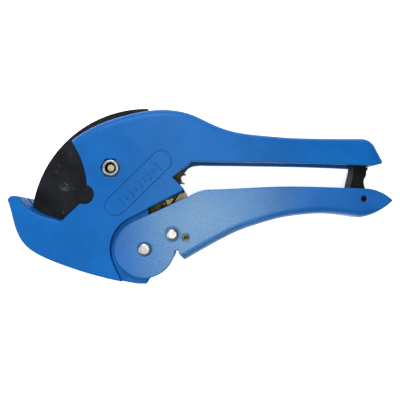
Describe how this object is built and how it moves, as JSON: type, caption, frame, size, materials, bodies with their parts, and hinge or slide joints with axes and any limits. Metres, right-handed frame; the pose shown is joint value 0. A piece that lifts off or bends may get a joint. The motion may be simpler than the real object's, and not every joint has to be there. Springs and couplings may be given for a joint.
{
  "type": "ratchet pipe cutter",
  "caption": "Hand-held ratchet cutter for plastic pipe: hooked jaw, swinging blade, fixed and moving handles with a closing latch.",
  "frame": {"origin": "middle of the tool's length and height, on the plane of the back rivet heads that it lies on", "axes": "+X along the tool from the hook towards the handle ends, +Y from the moving handle towards the fixed handle, +Z from the back face to the front face, where the pivot nut is"},
  "size_m": [0.222, 0.1041, 0.027],
  "materials": {
    "blue_casting": "fine textured powder coat",
    "blue_handle": "fine textured powder coat",
    "black_blade": "satin black coated steel",
    "steel": "bright zinc",
    "spring_steel": "drawn wire",
    "yellow_zinc": "yellow passivated zinc",
    "black_plastic": "moulded nylon"
  },
  "bodies": {
    "frame": {"body_casting": "blue_casting", "pivot_screw": "yellow_zinc", "pivot_nut": "steel", "pivot_bush": "steel", "spacer_front": "steel", "spacer_back": "steel", "blade_spring": "spring_steel", "handle_spring": "spring_steel"},
    "blade": {"blade": "black_blade"},
    "handle": {"moving_handle": "blue_handle", "handle_rivet": "steel", "pawl_rivet": "steel", "stop_pin": "yellow_zinc", "latch_pin": "black_plastic", "pawl_spacer_front": "steel", "pawl_spacer_back": "steel", "pawl_spring": "spring_steel"},
    "drive_pawl": {"drive_pawl": "yellow_zinc"},
    "hold_pawl": {"hold_pawl": "yellow_zinc"},
    "latch": {"latch": "black_plastic"}
  },
  "joints": [
    {"name": "handle_swing", "type": "hinge", "parent": "frame", "child": "handle", "pos_m": [-0.0319, -0.0319, 0.0135], "axis": [0, 0, 1], "range_deg": [-52, 0], "deforming": ["handle_spring"]},
    {"name": "blade_swing", "type": "hinge", "parent": "frame", "child": "blade", "pos_m": [-0.0515, 0.015, 0.0135], "axis": [0, 0, 1], "range_deg": [-78, 0], "deforming": ["blade_spring"]},
    {"name": "drive_pawl_swing", "type": "hinge", "parent": "handle", "child": "drive_pawl", "pos_m": [-0.016, -0.0233, 0.0135], "axis": [0, 0, 1], "range_deg": [-15, 0], "stiffness_Nm_per_rad": 0.02, "springref_deg": 11.46, "deforming": ["pawl_spring"]},
    {"name": "hold_pawl_swing", "type": "hinge", "parent": "frame", "child": "hold_pawl", "pos_m": [-0.0319, -0.0319, 0.0135], "axis": [0, 0, 1], "range_deg": [-12, 0], "stiffness_Nm_per_rad": 0.02, "springref_deg": 11.46},
    {"name": "latch_swing", "type": "hinge", "parent": "handle", "child": "latch", "pos_m": [0.0945, -0.0028, 0.0135], "axis": [0, 0, 1], "range_deg": [-8, 65]}
  ],
  "couplings": [
    {"joint": "blade_swing", "follows": "handle_swing", "ratio": 1.5}
  ]
}
